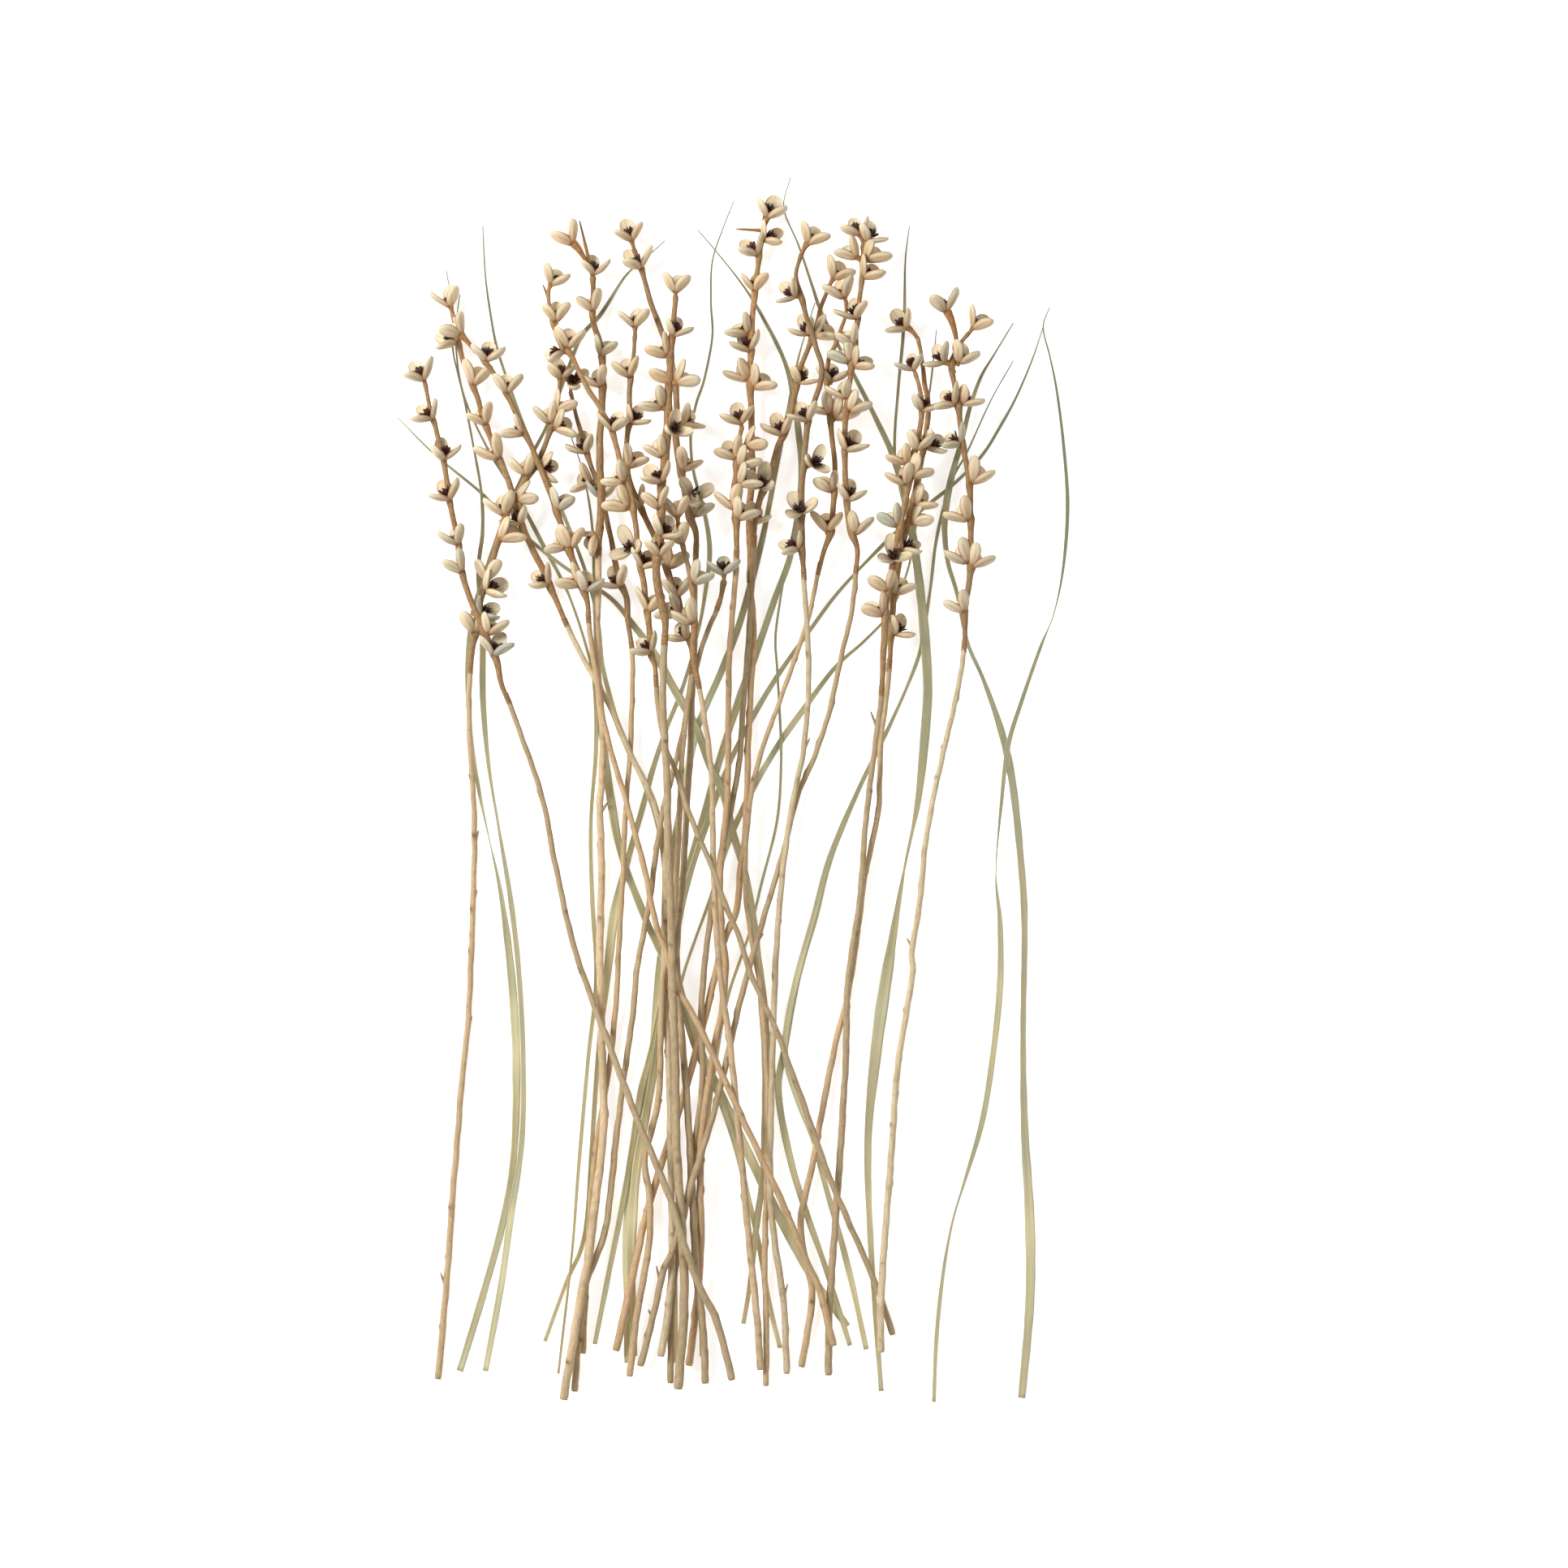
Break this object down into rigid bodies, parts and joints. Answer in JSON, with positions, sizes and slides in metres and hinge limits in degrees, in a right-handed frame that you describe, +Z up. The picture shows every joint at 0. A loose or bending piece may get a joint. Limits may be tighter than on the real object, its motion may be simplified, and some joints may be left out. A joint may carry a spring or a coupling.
{
  "type": "dried foliage branch bouquet",
  "caption": "Loose bunch of long dried branches with open seed pods at one end and dried grass blades, lying flat.",
  "frame": {"origin": "on the surface the bunch lies on, under the middle of its box", "axes": "+Z up from the surface, +Y along the bunch from the cut stem ends towards the pods, +X to the right seen from above with the pods away from the viewer"},
  "size_m": [0.498, 0.9072, 0.0786],
  "materials": {
    "twig": "matt dry bark, tan to brown",
    "pod": "matt papery, cream to tan",
    "blade": "matt dry grass, olive"
  },
  "bodies": {
    "root": {"stem_01": "twig", "spike_01": "pod", "stem_02": "twig", "spike_02": "pod", "stem_03": "twig", "spike_03": "pod", "stem_04": "twig", "spike_04": "pod", "stem_05": "twig", "spike_05": "pod", "stem_06": "twig", "spike_06": "pod", "stem_07": "twig", "spike_07": "pod", "stem_08": "twig", "spike_08": "pod", "stem_09": "twig", "spike_09": "pod", "stem_10": "twig", "spike_10": "pod", "stem_11": "twig", "spike_11": "pod", "stem_12": "twig", "spike_12": "pod", "stem_13": "twig", "spike_13": "pod", "stem_14": "twig", "spike_14": "pod", "stem_15": "twig", "spike_15": "pod", "stem_16": "twig", "spike_16": "pod", "stem_17": "twig", "spike_17": "pod", "stem_18": "twig", "spike_18": "pod", "stem_19": "twig", "spike_19": "pod", "stem_20": "twig", "spike_20": "pod", "stem_21": "twig", "spike_21": "pod", "blade_01": "blade", "blade_02": "blade", "blade_03": "blade", "blade_04": "blade", "blade_05": "blade", "blade_06": "blade", "blade_07": "blade", "blade_08": "blade", "blade_09": "blade", "blade_10": "blade", "blade_11": "blade", "blade_12": "blade", "blade_13": "blade", "blade_14": "blade", "blade_15": "blade", "blade_16": "blade", "blade_17": "blade"}
  },
  "joints": []
}
